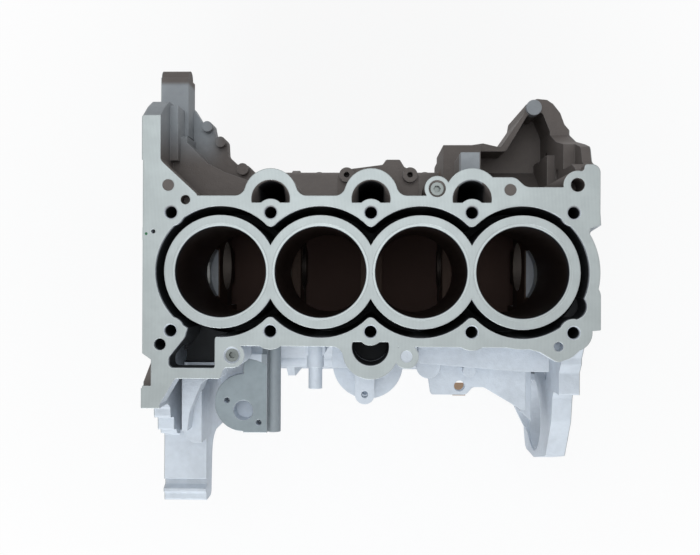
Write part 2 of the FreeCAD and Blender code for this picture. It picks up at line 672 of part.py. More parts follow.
def front_exhaust_corner():
    # lug, stepped trench and curved web between the timing flange and the first port lobe
    lug = box(
        "lug", "-front_face", "-front_face + lug_width", "strip_top - 8", "lug_reach", "-lug_drop - 26",
        "-lug_drop",
    )
    tall_step = box(
        "step", "-front_face", "-front_face + 22", "strip_top - 34", "strip_top + 15", "-150", "-32"
    )
    low_step = box(
        "step", "-front_face", "-front_face + 27", "exhaust_edge - 4", "strip_top - 10", "-150", "-46"
    )
    shelf = [
        ("-front_face + 8", "50", 0),
        ("-front_face + 8", "strip_top + 17", 0),
        ("-front_face + 24", "strip_top + 24", 3),
        ("-front_face + 34.5", "strip_top + 7", 4),
        ("-front_face + 44", "strip_top + 6", 4),
        ("-front_face + 47", "exhaust_edge + 61", 3),
        ("-front_face + 57", "exhaust_edge + 62", 4),
        ("-front_face + 58", "exhaust_edge + 46", 5),
        ("-front_face + 69", "exhaust_edge + 36", 5),
        ("-front_face + 77", "exhaust_edge + 37", 4),
        ("-front_face + 84", "exhaust_edge + 30", 4),
        ("-front_face + 98", "exhaust_edge + 20", 0),
        ("-front_face + 98", "50", 0),
    ]
    web = [
        ("-front_face + 10", "50", 0),
        ("-front_face + 10", "strip_top - 1", 0),
        ("-front_face + 16", "strip_top - 5", 0),
        ("-front_face + 34", "strip_top - 23", 20),
        ("-front_face + 45", "exhaust_edge + 34", 20),
        ("-front_face + 63", "exhaust_edge + 25", 20),
        ("-front_face + 81", "exhaust_edge + 19", 20),
        ("-front_face + 98", "exhaust_edge + 12", 0),
        ("-front_face + 98", "50", 0),
    ]
    return [
        lug,
        lengthwise(
            "lug_nose", 8, "lug_reach", "-lug_drop - 10", "-front_face", "-front_face + lug_width"
        ),
        tall_step,
        low_step,
        prism("shelf", shelf, "-shelf_drop - shelf_thick", "-shelf_drop"),
        prism("web", web, "-160", "-web_drop"),
        upright(
            "stud_boss", 5, "-front_face + 39.5", "strip_top + 4", "-shelf_drop - shelf_thick",
            "-shelf_drop + 8",
        ),
        upright(
            "stud_boss", 5, "-front_face + 52", "exhaust_edge + 58", "-shelf_drop - shelf_thick",
            "-shelf_drop + 8",
        ),
        upright(
            "lobe_knob", 5.5, "-front_face + 73", "exhaust_edge + 32.5", "-shelf_drop - shelf_thick",
            "-shelf_drop + 8",
        ),
    ]


def exhaust_middle():
    # a shelf on the wall between the ports, with bosses for two small screws and a raised lifting end
    shelf = [
        ("-30", "exhaust_edge - 2", 0),
        ("-30", "exhaust_edge + 20.5", 3),
        ("-21", "exhaust_edge + 26", 4),
        ("10", "exhaust_edge + 30", 2),
        ("13", "exhaust_edge + 34.5", 2),
        ("25", "exhaust_edge + 34.5", 2),
        ("29", "exhaust_edge + 28", 3),
        ("38", "exhaust_edge + 24", 4),
        ("42", "exhaust_edge + 20.5", 3),
        ("42", "exhaust_edge - 2", 0),
    ]
    parts = [prism("middle_shelf", shelf, "-150", "-screw_drop - 6")]
    for x in screw_places:
        parts.append(upright("screw_boss", 6.5, x, "exhaust_edge + screw_out", "-150", "-screw_drop"))
    parts.append(
        box(
            "tab", "bore_pitch - 9", "bore_pitch + 7", "exhaust_edge + 10", "exhaust_edge + 37.5", "-60",
            "-6",
        )
    )
    return parts


def gearbox_exhaust_corner():
    # the wall that flares from the crankcase to the bell housing flange, with a mount boss at its peak
    wall = [
        ("bore_pitch - 16", "exhaust_edge - 4", 0),
        ("bore_pitch - 16", "exhaust_edge + 57", 6),
        ("bore_pitch + 24", "exhaust_edge + 63", 4),
        ("peak_x - 24", "exhaust_edge + 59", 4),
        ("peak_x - 1.5", "peak_y - 17", 4),
        ("peak_x", "peak_y - 8", 3),
        ("peak_x + 11", "peak_y - 2", 5),
        ("peak_x + 21", "peak_y - 3", 3),
        ("peak_x + 27", "peak_y - 7", 3),
        ("peak_x + 34", "peak_y - 16", 4),
        ("rear_face - 5", "peak_y - 27", 3),
        ("rear_face", "peak_y - 33", 0),
        ("rear_face", "exhaust_edge - 4", 0),
    ]
    hollow = [
        ("bore_pitch - 9", "exhaust_edge + 18", 4),
        ("bore_pitch - 9", "exhaust_edge + 50", 4),
        ("bore_pitch + 22", "exhaust_edge + 55", 4),
        ("bore_pitch + 46", "exhaust_edge + 55", 4),
        ("peak_x - 6", "peak_y - 32", 6),
        ("peak_x + 2", "peak_y - 18", 5),
        ("peak_x + 16", "peak_y - 14", 5),
        ("rear_face - rear_flange", "peak_y - 34", 4),
        ("rear_face - rear_flange", "exhaust_edge + 18", 4),
    ]
    shell = cut(
        "flare", prism("flare_wall", wall, "-212", "-flare_drop"),
        [prism("flare_hollow", hollow, "-flare_drop - flare_deep", "-flare_drop + 1")],
    )
    return [
        shell,
        upright("mount_boss", 7.5, "peak_x + 8", "peak_y - 11", "-212", "-flare_drop + 3"),
        box(
            "post", "rear_face - 26", "rear_face - rear_flange + 1", "exhaust_edge + 4",
            "exhaust_edge + 48", "-200", "-flare_drop + 20",
        ),
        box(
            "sensor_box", "bore_pitch - 16", "bore_pitch + 20", "exhaust_edge + 4", "exhaust_edge + 59",
            "-180", "-flare_drop + 14",
        ),
    ]


def intake_front_corner():
    # mount arm, and the machined pad with its recess
    arm_end = "-front_face + arm_width"
    flank = [
        ("-front_face + 24", "-60", 0),
        ("-front_face + 24", "-arm_start + 2", 6),
        ("-front_face + 32", "-arm_start - 4", 0),
        (arm_end, "-arm_start - 4", 0),
        (arm_end, "-inlet_reach - 12", 6),
        ("-front_face + 70", "-inlet_reach + 2", 0),
        ("-front_face + 70", "-60", 0),
    ]
    cheek = [
        ("-front_face + 26", "-inlet_reach - 8", 0),
        ("-front_face + 26", "-arm_start + 10", 0),
        ("-front_face + 31", "-arm_start + 10", 0),
        ("-front_face + 33", "-foot_reach - 8", 10),
        ("-front_face + 44", "-inlet_reach - 16", 10),
        ("-front_face + 58", "-inlet_reach - 8", 0),
    ]
    arm = [
        ("-arm_start + 4", "-arm_drop", 0),
        ("-arm_reach + 20.5", "-arm_drop", 0.7),
        ("-arm_reach + 19", "-arm_drop - 4", 0.7),
        ("-arm_reach + 15", "-arm_drop - 4", 0.7),
        ("-arm_reach + 12", "-arm_drop + 2", 1),
        ("-arm_reach + 9", "-arm_drop + 2", 1),
        ("-arm_reach + 7", "-arm_drop - 1", 0.7),
        ("-arm_reach", "-arm_drop - 1", 2),
        ("-arm_reach", "-arm_drop - 24", 6),
        ("-arm_start - 10", "-arm_drop - 28", 20),
        ("-arm_start + 4", "-arm_drop - 75", 0),
    ]
    beyond = box(
        "pad_trim", "disc_x + disc_side", "disc_x + disc_radius + 1", "disc_y - disc_radius",
        "disc_y + disc_radius", "-disc_drop - 71", "-disc_drop + 1",
    )
    pad = cut(
        "pad", upright("pad_round", "disc_radius", "disc_x", "disc_y", "-disc_drop - 70", "-disc_drop"),
        [beyond],
    )
    pad_square = box(
        "pad_square", "disc_x", "disc_x + disc_side", "disc_y - disc_radius - 1", "-inlet_reach + 8",
        "-disc_drop - 70", "-disc_drop",
    )
    return [
        prism("flank", flank, "-190", "-52"),
        prism("cheek", cheek, "-60", "-34"),
        prism("arm", arm, "-front_face", arm_end, ALONG_X),
        pad,
        pad_square,
        box(
            "pad_neck", "disc_x - disc_radius + 4", "disc_x + disc_side", "disc_y", "-60", "-140",
            "-disc_drop - 6",
        ),
    ]


def intake_middle():
    # half-round column, hose stub, the disc under the return lobe, the drilled lug and the web plate
    plate = [
        ("44", "-60", 0),
        ("44", "-inlet_reach - 3", 8),
        ("52", "-inlet_reach - 9", 5),
        ("55", "-plate_reach", 2),
        ("87", "-plate_reach", 6),
        ("93", "-plate_reach + 7", 5),
        ("103", "-plate_reach + 7", 5),
        ("137", "-plate_reach - 13", 4),
        ("rear_face - 52", "-plate_reach - 13", 0),
        ("rear_face - 52", "-60", 0),
    ]
    ridge = [
        ("42", "-60", 0),
        ("42", "-inlet_reach + 2", 3),
        ("135", "-inlet_reach - 5", 3),
        ("rear_face - 36", "-inlet_reach - 5", 0),
        ("rear_face - 36", "-60", 0),
    ]
    return [
        crosswise("column", "column_radius", "-88.6", "-column_drop", "-145.7", "-55"),
        box("column_web", "-98", "-88.6", "-144", "-55", "-column_drop - 50", "-column_drop"),
        crosswise("stub", "stub_radius", "-49", "-stub_drop", "-84", "-55"),
        crosswise("stub_end", "stub_radius - 1.4", "-49", "-stub_drop", "-103", "-80"),
        upright("stub_root", 9, "-49", "-68", "-110", "-stub_drop + 4"),
        upright("disc", 31.5, "-2.5", "-82", "-70", "-46"),
        box("bright_pad", -34, -18, -84, -60, "-70", "-30"),
        upright("lug_eye", 8.6, "-5", "-107", "-36", "-26"),
        box("lug_arm", -13.6, 3.6, -107, -80, "-46", "-26"),
        prism("plate", plate, "-plate_drop - plate_thick", "-plate_drop"),
        prism("ridge", ridge, "-plate_drop", "-plate_drop + 24"),
        upright("bowl", 11, "52", "-84", "-plate_drop", "-plate_drop + 12"),
        upright("knob", 6, "89", "-88", "-plate_drop", "-plate_drop + 10"),
    ]


def gearbox_intake_corner():
    # starter mount: a tube open at the top between its own plate and the bell housing flange
    start = "rear_face - starter_long"
    tube = lengthwise(
        "starter", "starter_radius + starter_wall", "-starter_out", "-starter_deep", start, "rear_face"
    )
    plate = box("starter_plate", start, start + " + 10", "-starter_out", "-70", "-200", "-starter_top")
    slope = [
        ("rear_face - 93", "-starter_out + 14", 0),
        ("rear_face - starter_long", "-starter_out + 14", 0),
        ("rear_face - 32", "-starter_out + 2", 0),
        ("rear_face - rear_flange", "-starter_out - 26", 0),
        ("rear_face - rear_flange", "-starter_out - 2 * starter_radius", 0),
        ("rear_face - 93", "-starter_out - 2 * starter_radius", 0),
    ]
    window = box(
        "starter_window", start + " + 10", "rear_face - rear_flange",
        "-starter_out - 60", "-block_reach + 10",
        "-starter_deep + 8", "-starter_top + 10",
    )
    slant = prism("starter_slant", slope, "-starter_deep - 60", "-60")
    return [cut("starter_mount", fuse("starter_solid", [tube, plate]), [window, slant])]


def machined():
    # every hole, recess and clearance of the finished block
    corner = [
        ("-front_face - 1", "-intake_edge - 6", 0),
        ("-front_face + 7.5", "-intake_edge - 12", 0),
        ("-front_face - 1", "-intake_edge - 34.4", 0),
    ]
    ledge = [
        ("-front_face - 1", "-intake_edge - 34.4", 0),
        ("-front_face + 7.5", "-intake_edge - 12", 0),
        ("-front_face + 7.5", "-intake_edge - 34.4", 0),
    ]
    tools = [
        lengthwise("main_bore", "main_radius", *crank, "-front_face - 1", "rear_face + 1"),
        lengthwise("seal", "seal_radius", *crank, "rear_face - seal_depth", "rear_face + 1"),
        lengthwise("seal", "seal_radius - 6", *crank, "-front_face - 1", "-front_face + seal_depth"),
        lengthwise("pin_hole", "pin_radius", *front_pins[0], "-front_face - 1", "-front_face + pin_in"),
        lengthwise("pin_hole", "pin_radius", *front_pins[1], "-front_face - 1", "-front_face + pin_in"),
        lengthwise("pin_hole", "pin_radius", *rear_pins[0], "rear_face - pin_in", "rear_face + 1"),
        lengthwise("pin_hole", "pin_radius", *rear_pins[1], "rear_face - pin_in", "rear_face + 1"),
        lengthwise(
            "starter_bore", "starter_radius", "-starter_out", "-starter_deep",
            "rear_face - starter_seat - 1", "rear_face + 1",
        ),
        lengthwise(
            "starter_relief", "starter_radius + 2", "-starter_out", "-starter_deep",
            "rear_face - starter_long - 1", "rear_face - starter_seat",
        ),
        box(
            "shoulder_step", "rear_face - rear_flange - 1", "rear_face - shoulder_thick",
            "exhaust_edge + 30", "exhaust_edge + 60", "-shoulder_drop", "-20",
        ),
        prism("timing_corner", corner, "-30", "1"),
        prism("timing_ledge", ledge, "-4", "1"),
        lengthwise(
            "gallery", "gallery_radius", "-gallery_place", "-gallery_drop", "-front_face - 1",
            "rear_face + 1",
        ),
    ]
    for x in cylinders:
        tools.append(upright("bore", "bore_radius + liner_wall", x, 0, "-barrel_length - 30", 1))
    for x in bulkheads:
        for y in ("bolt_row", "-bolt_row"):
            tools.append(upright("bolt_hole", "bolt_radius", x, y, "-bolt_depth", 1))
            tools.append(
                taper("bolt_mouth", "bolt_radius", "bolt_radius + bolt_mouth", x, y, "-bolt_mouth", 0)
            )
    for x in bulkheads[1:4]:
        mouth = taper("port_mouth", "port_throat", "port_radius", x, "port_place", "-port_taper", 0)
        throat = upright("port_throat", "port_bore", x, "port_place + port_shift", "-port_fall - 10", 0)
        keep = [
            upright("port_boss", "bolt_boss", x, "bolt_row", "-port_fall - 11", 1),
            box("port_flat", f"{x} - 20", f"{x} + 20", 30, "port_shoulder", "-port_fall - 11", 1),
        ]
        cheeks = [
            box("port_cheek", f"{x} - 20", f"{x} - port_throat", 30, 90, "-port_fall - 11", 1),
            box("port_cheek", f"{x} + port_throat", f"{x} + 20", 30, 90, "-port_fall - 11", 1),
        ]
        tools.append(cut("port_space", fuse("port", [mouth, cut("port_slot", throat, cheeks)]), keep))
        fall = ("bulkhead / 2 + 2", x, "port_place + 8", sump + " - 1", "-port_fall")
        tools.append(upright("port_fall", *fall))
    back = upright("return", "return_radius", 0, "-return_place", "-return_depth + 10", 0)
    keep = [
        upright("return_boss", "bolt_boss", 0, "-bolt_row", "-return_depth", 1),
        box("return_flat", -20, 20, "-return_shoulder", -30, "-return_depth", 1),
    ]
    tools.append(cut("return_space", back, keep))
    return tools + deck_holes() + side_holes() + bearing_seats() + rail_holes()


def deck_holes():
    # screwed plug seats, dowel holes, blind holes and ejector marks in the deck face
    tools = []
    for x, y in (("plug_x", "plug_y"), ("front_plug_x", "front_plug_y")):
        tools.append(upright("plug_seat", "plug_radius", x, y, "-plug_sunk - plug_long", 0))
        tools.append(taper("plug_mouth", "plug_radius", "plug_mouth", x, y, "-plug_sunk", 0))
        tools.append(
            upright("plug_drain", "plug_radius - 2", x, y, "-boss_depth + 8", "-plug_sunk - plug_long")
        )
    tools.append(upright("ring_hole", "ring_hole", "ring_x", "ring_y", -30, 1))
    tools.append(
        upright("corner_hole", "bolt_radius", "-2 * bore_pitch - 9", "-intake_edge + 1", "-bolt_depth", 1)
    )
    tools.append(upright("sight_hole", 1.8, "-deck_front + 7", 34, -20, 1))
    for x, y in (("dowel_x", "-intake_edge + 1"), ("-2 * bore_pitch + 12.4", "exhaust_edge - 3.5")):
        tools.append(upright("dowel_hole", "dowel_hole", x, y, "-dowel_depth", 1))
    for x, y in (
        ("-2 * bore_pitch - 2.4", "exhaust_edge + 9"), ("bore_pitch + 32", "exhaust_edge + 5"),
        ("pad_x", "pad_y"),
    ):
        tools.append(upright("ejector_mark", "mark_radius", x, y, "-mark_depth", 1))
    return tools


def side_holes():
    # the pad's recess and screws, drilled lugs, gallery ends, breathers and the end faces' screws
    tools = [
        upright(
            "disc_recess", "disc_recess", "disc_x", "disc_y - 7", "-disc_drop - disc_recess_depth",
            "-disc_drop + 1",
        ),
        upright(
            "disc_screw", "disc_screw", "disc_x - 15", "disc_y + 2", "-disc_drop - 16", "-disc_drop + 1"
        ),
        upright(
            "disc_screw", "disc_screw", "disc_x + 14", "disc_y - 18", "-disc_drop - 16", "-disc_drop + 1"
        ),
        upright("lug_hole", 3, "-5", "-107", "-50", "-20"),
        upright("plate_hole", 4.8, "81", "-plate_reach + 8", "-plate_drop - 20", "-plate_drop + 1"),
        crosswise("stub_bore", 4, -49, "-stub_drop", -104, -70),
        crosswise(
            "drain_seat", "drain_radius", "drain_place", "-drain_drop", "-intake_edge - 8",
            "-jacket_radius + 8",
        ),
        lengthwise(
            "breather", "breather_radius", 0, "-breather_drop", "-front_face - 1", "1.5 * bore_pitch"
        ),
    ]
    for x in screw_places:
        tools.append(
            upright(
                "screw_hole", "screw_hole", x, "exhaust_edge + screw_out", "-screw_drop - 14",
                "-screw_drop + 1",
            )
        )
    for z in cover_rows:
        for y in ("-intake_edge - 22", "strip_top - 16"):
            tools.append(
                lengthwise("cover_hole", "cover_hole", y, z, "-front_face - 4", "-front_face + 14")
            )
    for half, z in bell_bolts:
        for side in ("-", "+"):
            y = f"crank_offset {side} {half}"
            tools.append(lengthwise("bell_hole", "bell_hole", y, z, "rear_face - 28", "rear_face + 1"))
    return tools


def bearing_seats():
    # register for each cap, its bolt holes and the seats of its ring dowels
    tools = []
    for x in bulkheads:
        thick = [f"{x} - bulkhead / 2", f"{x} + bulkhead / 2"]
        tools.append(
            box(
                "cap_seat", *thick, "crank_offset - cap_half", "crank_offset + cap_half", sump + " - 1",
                "-deck_height",
            )
        )
        for side in ("-", "+"):
            y = f"crank_offset {side} cap_bolt_place"
            tools.append(
                upright(
                    "cap_bolt_hole", "cap_bolt_radius", x, y, "-deck_height",
                    "-deck_height + cap_bolt_reach + 6",
                )
            )
            tools.append(
                upright(
                    "dowel_seat", "cap_dowel_radius", x, y, "-deck_height",
                    "-deck_height + cap_dowel_long / 2",
                )
            )
    return tools


def rail_holes():
    tools = []
    for i in range(7):
        x = f"({i} - 3) * rail_pitch"
        for y in ("crank_offset - rail_intake + rail_inset", "crank_offset + rail_exhaust - rail_inset"):
            tools.append(
                upright("rail_hole", "rail_hole", x, y, sump + " - 1", sump + " + rail_hole_depth")
            )
    return tools


def block_casting():
    body = deck_columns("-wall_depth", "-port_fall", "-boss_depth") + [deck_plate()] + crankcase()
    body += [front_flange(), rear_flange()]
    body += front_exhaust_corner() + exhaust_middle() + gearbox_exhaust_corner()
    body += intake_front_corner() + intake_middle() + gearbox_intake_corner()
    rough = fuse("rough_casting", body)
    return cut("casting", rough, crankcase_bays() + [jacket_tool()] + machined())


def cylinder_liner(x):
    wall = upright("liner_wall", "bore_radius + liner_wall", x, 0, "-barrel_length", 0)
    hole = upright("liner_bore", "bore_radius", x, 0, "-barrel_length", 0)
    mouth = taper("liner_mouth", "bore_radius", "bore_radius + bore_chamfer", x, 0, "-bore_chamfer", 0)
    return cut("liner", wall, [hole, mouth])


def main_bearing_cap(x):
    # a block with lower shoulders for the bolt heads, bored with the casting
    profile = [
        ("crank_offset - cap_half", "-deck_height", 0),
        ("crank_offset - cap_half", "-deck_height - cap_shoulder", 3),
        ("crank_offset - cap_foot", "-deck_height - cap_shoulder", 4),
        ("crank_offset - cap_foot + 3", "-deck_height - cap_tall", 5),
        ("crank_offset + cap_foot - 3", "-deck_height - cap_tall", 5),
        ("crank_offset + cap_foot", "-deck_height - cap_shoulder", 4),
        ("crank_offset + cap_half", "-deck_height - cap_shoulder", 3),
        ("crank_offset + cap_half", "-deck_height", 0),
    ]
    solid = prism("cap_solid", profile, f"{x} - bulkhead / 2", f"{x} + bulkhead / 2", ALONG_X)
    tools = [lengthwise("cap_bore", "main_radius", *crank, f"{x} - bulkhead", f"{x} + bulkhead")]
    for side in ("-", "+"):
        y = f"crank_offset {side} cap_bolt_place"
        tools.append(upright("cap_hole", "cap_bolt_radius + cap_bolt_fit", x, y, sump, "-deck_height"))
        tools.append(
            upright(
                "cap_dowel_seat", "cap_dowel_radius", x, y, "-deck_height - cap_dowel_long / 2",
                "-deck_height",
            )
        )
    return cut("cap", solid, tools)


def hexagon(name, radius, x, y, z_from, z_to):
    item = doc.addObject("Part::Prism", name)
    item.Polygon = 6
    bind(item, Circumradius=radius, Height=f"({z_to}) - ({z_from})")
    return put(item, x, y, z_from)


def main_cap_bolts(x):
    seat = "-deck_height - cap_shoulder"
    bolts = []
    for side in ("-", "+"):
        y = f"crank_offset {side} cap_bolt_place"
        pieces = [
            upright("shank", "cap_bolt_radius", x, y, seat, "-deck_height + cap_bolt_reach"),
            upright("collar", "cap_collar", x, y, f"{seat} - cap_collar_thick", seat),
            hexagon(
                "head", "cap_head_radius", x, y, f"{seat} - cap_collar_thick - cap_head_tall",
                f"{seat} - cap_collar_thick",
            ),
        ]
        bolts.append(fuse("bolt", pieces))
    return compound("bolts", bolts)


def cap_dowels(x):
    rings = []
    for side in ("-", "+"):
        y = f"crank_offset {side} cap_bolt_place"
        ends = ("-deck_height - cap_dowel_long / 2", "-deck_height + cap_dowel_long / 2")
        ring = upright("ring", "cap_dowel_radius", x, y, *ends)
        rings.append(
            cut("dowel", ring, [upright("ring_bore", "cap_bolt_radius + cap_bolt_fit", x, y, *ends)])
        )
    return compound("dowels", rings)


def compound(name, items):
    item = doc.addObject("Part::Compound", name)
    item.Links = items
    return item


def deck_plug(x, y):
    body = upright("plug_body", "plug_radius", x, y, "-plug_sunk - plug_long", "-plug_sunk")
    socket = hexagon("plug_socket", "plug_socket", x, y, "-plug_sunk - plug_socket_depth", "-plug_sunk")
    return cut("deck_plug", body, [socket])


def gallery_plug(x_from, x_to, socket_from, socket_to):
    body = lengthwise(
        "gallery_plug_body", "gallery_radius", "-gallery_place", "-gallery_drop", x_from, x_to
    )
    socket = lengthwise(
        "gallery_plug_socket", "gallery_radius / 2", "-gallery_place", "-gallery_drop", socket_from,
        socket_to,
    )
    return cut("gallery_plug", body, [socket])


def coolant_drain_plug():
    seat = "-intake_edge"
    thread = crosswise("drain_thread", "drain_radius", "drain_place", "-drain_drop", seat, "-jacket_radius")
    head = doc.addObject("Part::Prism", "drain_head")
    head.Polygon = 6
    bind(head, Circumradius="drain_head", Height="drain_head_tall")
    put(head, "drain_place", seat, "-drain_drop", ALONG_Y)
    return fuse("drain_plug", [thread, head])


def pins(places, start, end):
    return compound("pins", [lengthwise("pin", "pin_radius", y, z, start, end) for y, z in places])


nodes = {"block_casting": block_casting()}
for i, x in enumerate(cylinders, 1):
    nodes[f"cylinder_liner_{i}"] = cylinder_liner(x)
for i, x in enumerate(bulkheads, 1):
    nodes[f"main_bearing_cap_{i}"] = main_bearing_cap(x)
    nodes[f"main_cap_bolts_{i}"] = main_cap_bolts(x)
    nodes[f"cap_dowels_{i}"] = cap_dowels(x)
nodes["exhaust_deck_plug"] = deck_plug("plug_x", "plug_y")
nodes["intake_deck_plug"] = deck_plug("front_plug_x", "front_plug_y")
nodes["front_gallery_plug"] = gallery_plug(
    "-front_face", "-front_face + gallery_plug_long", "-front_face", "-front_face + gallery_plug_long / 2"
)
nodes["rear_gallery_plug"] = gallery_plug(
    "rear_face - gallery_plug_long", "rear_face", "rear_face - gallery_plug_long / 2", "rear_face"
)
nodes["coolant_drain_plug"] = coolant_drain_plug()
nodes["timing_cover_pins"] = pins(front_pins, "-front_face - pin_out", "-front_face + pin_in")
nodes["bell_housing_pins"] = pins(rear_pins, "rear_face - pin_in", "rear_face + pin_out")

for name, item in nodes.items():
    item.Label = name
    put(item, 0, "-crank_offset", "deck_height")
doc.recompute()

for item in doc.Objects:
    if {"Invalid", "Error"} & set(item.State):
        raise RuntimeError(f"{item.Name} failed: {item.State}")
for name, item in nodes.items():
    if item.Shape.isNull() or not item.Shape.isValid():
        raise RuntimeError(f"{name} has no valid shape")
os.makedirs("parts", exist_ok=True)
for name, item in nodes.items():
    item.Shape.exportStep(f"parts/{name}.step")
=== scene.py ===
import json
import math
import bpy
from mathutils import Matrix, Vector


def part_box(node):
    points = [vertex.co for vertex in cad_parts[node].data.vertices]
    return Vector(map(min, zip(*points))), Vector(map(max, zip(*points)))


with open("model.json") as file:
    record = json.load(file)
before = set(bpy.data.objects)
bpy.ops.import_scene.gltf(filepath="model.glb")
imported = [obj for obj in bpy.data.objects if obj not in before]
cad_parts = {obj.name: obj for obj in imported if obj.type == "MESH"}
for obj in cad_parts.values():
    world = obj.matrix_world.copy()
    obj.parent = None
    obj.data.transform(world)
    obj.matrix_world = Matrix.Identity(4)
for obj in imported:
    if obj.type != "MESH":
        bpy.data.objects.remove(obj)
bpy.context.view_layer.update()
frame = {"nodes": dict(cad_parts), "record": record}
print("frame loaded")

# heights of the deck face and of the face the block stands on, in metres from the crank axis
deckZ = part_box("cylinder_liner_1")[1].z
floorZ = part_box("block_casting")[0].z
bevelSamples = 6


class Shade:
    # a short way to write node trees: every call adds its nodes and returns the output
    def __init__(self, tree):
        self.tree = tree

    def node(self, kind, **settings):
        item = self.tree.nodes.new(kind)
        for key, value in settings.items():
            setattr(item, key, value)
        return item

    def wire(self, source, socket):
        if isinstance(source, bpy.types.NodeSocket):
            self.tree.links.new(source, socket)
        elif source is not None:
            socket.default_value = source

    def fill(self, item, values):
        for value, socket in zip(values, item.inputs):
            self.wire(value, socket)
        return item.outputs[0]

    def calc(self, operation, a, b=None, c=None, clamp=False):
        return self.fill(self.node("ShaderNodeMath", operation=operation, use_clamp=clamp), (a, b, c))

    def above(self, value, limit):
        return self.calc("GREATER_THAN", value, limit)

    def below(self, value, limit):
        return self.calc("LESS_THAN", value, limit)

    def distance(self, value):
        return self.calc("ABSOLUTE", value)

    def rest(self, mask):
        # 1 where the mask is 0
        return self.calc("SUBTRACT", 1.0, mask, clamp=True)

    def within(self, value, low, high):
        return self.calc("MULTIPLY", self.above(value, low), self.below(value, high))

    def every(self, *masks):
        both = masks[0]
        for mask in masks[1:]:
            both = self.calc("MULTIPLY", both, mask)
        return both

    def either(self, *masks):
        most = masks[0]
        for mask in masks[1:]:
            most = self.calc("MAXIMUM", most, mask)
        return most

    def inside(self, spot, limits):
        # 1 between the limits, along each axis that has them
        return self.every(*(self.within(value, *pair) for value, pair in zip(spot, limits) if pair))

    def span(self, a, b, a0, b0):
        # distance from the point a0, b0 in the plane of a and b
        across = self.calc("SUBTRACT", a, a0)
        along = self.calc("SUBTRACT", b, b0)
        squares = self.calc("MULTIPLY_ADD", across, across, self.calc("MULTIPLY", along, along))
        return self.calc("SQRT", squares)

    def near(self, a, b, middle, reach):
        # 1 closer than reach to the middle, in the plane of a and b
        return self.below(self.span(a, b, *middle), reach)

    def ramp(self, value, low, high, outLow=0.0, outHigh=1.0):
        # value from low to high becomes outLow to outHigh, smoothly, and stays there outside
        item = self.node("ShaderNodeMapRange", interpolation_type="SMOOTHSTEP")
        return self.fill(item, (value, low, high, outLow, outHigh))

    def fade(self, value, low, high):
        # 1 below low, and 0 above high
        return self.ramp(value, low, high, 1.0, 0.0)

    def blend(self, factor, a, b, kind="MIX"):
        item = self.node("ShaderNodeMix", data_type="RGBA", blend_type=kind)
        self.wire(factor, item.inputs[0])
        self.wire(a, item.inputs[6])
        self.wire(b, item.inputs[7])
        return item.outputs[2]

    def toned(self, colour, tone):
        return self.blend(1.0, colour, tone, "MULTIPLY")

    def noise(self, place, scale, detail, rough):
        item = self.node("ShaderNodeTexNoise")
        self.wire(place, item.inputs["Vector"])
        item.inputs["Scale"].default_value = scale
        item.inputs["Detail"].default_value = detail
        item.inputs["Roughness"].default_value = rough
        return item.outputs[0]

    def split(self, vector):
        item = self.node("ShaderNodeSeparateXYZ")
        self.wire(vector, item.inputs[0])
        return tuple(item.outputs)

    def bevel(self, radius):
        item = self.node("ShaderNodeBevel", samples=bevelSamples)
        item.inputs["Radius"].default_value = radius
        return item.outputs[0]

    def bump(self, height, distance, normal):
        item = self.node("ShaderNodeBump")
        item.inputs["Distance"].default_value = distance
        self.wire(height, item.inputs["Height"])
        self.wire(normal, item.inputs["Normal"])
        return item.outputs[0]

    def group(self, tree, **values):
        item = self.node("ShaderNodeGroup", node_tree=tree)
        for title, value in values.items():
            self.wire(value, item.inputs[title])
        return item.outputs

    def seenAsBackground(self):
        # 1 for the camera itself, and for what it sees in metal or through glass
        path = self.node("ShaderNodeLightPath")
        rays = ("Camera", "Glossy", "Transmission")
        return self.either(*(path.outputs[f"Is {ray} Ray"] for ray in rays))

    def mixShaders(self, share, first, second):
        return self.fill(self.node("ShaderNodeMixShader"), (share, first, second))


def rgb(r, g, b):
    return (r, g, b, 1.0)


def addGroup(name, inputs, outputs):
    tree = bpy.data.node_groups.new(name, "ShaderNodeTree")
    kinds = {"value": "NodeSocketFloat", "vector": "NodeSocketVector"}
    for title, kind in inputs.items():
        tree.interface.new_socket(title, in_out="INPUT", socket_type=kinds[kind])
    for title in outputs:
        tree.interface.new_socket(title, in_out="OUTPUT", socket_type=kinds["value"])
    shade = Shade(tree)
    return tree, shade, shade.node("NodeGroupInput").outputs, shade.node("NodeGroupOutput").inputs


skinNoise = {
    # name: (how many to the metre, detail, roughness)
    "fine": (900.0, 3.0, 0.6),
    "middle": (170.0, 4.0, 0.55),
    "broad": (22.0, 3.0, 0.5),
    "share": 0.35,    # of the fine one in the height, and of the middle one in the tone
}


def castSkinGroup():
    # sand-cast skin: a height of fine grain on soft waves, and a cloudy tone
    tree, shade, given, out = addGroup("castSkin", {"Place": "vector", "Grain": "value"}, ("Height", "Tone"))
    names = ("fine", "middle", "broad")
    fine, middle, broad = (shade.noise(given["Place"], *skinNoise[name]) for name in names)
    share = skinNoise["share"]
    height = shade.calc("MULTIPLY_ADD", fine, share, shade.calc("MULTIPLY", middle, 1.0 - share))
    tone = shade.calc("MULTIPLY_ADD", middle, share, shade.calc("MULTIPLY", broad, 1.0 - share))
    shade.wire(shade.calc("MULTIPLY", height, given["Grain"]), out["Height"])
    shade.wire(tone, out["Tone"])
    return tree


cutterLook = {
    "centre": (-1.4, -0.05),    # middle of the arcs, metres
    "turns": 2100.0,            # radians to the metre: one arc every 3 mm
    "strength": 0.05,
    "breaks": (60.0, 3.0, 0.6),
}


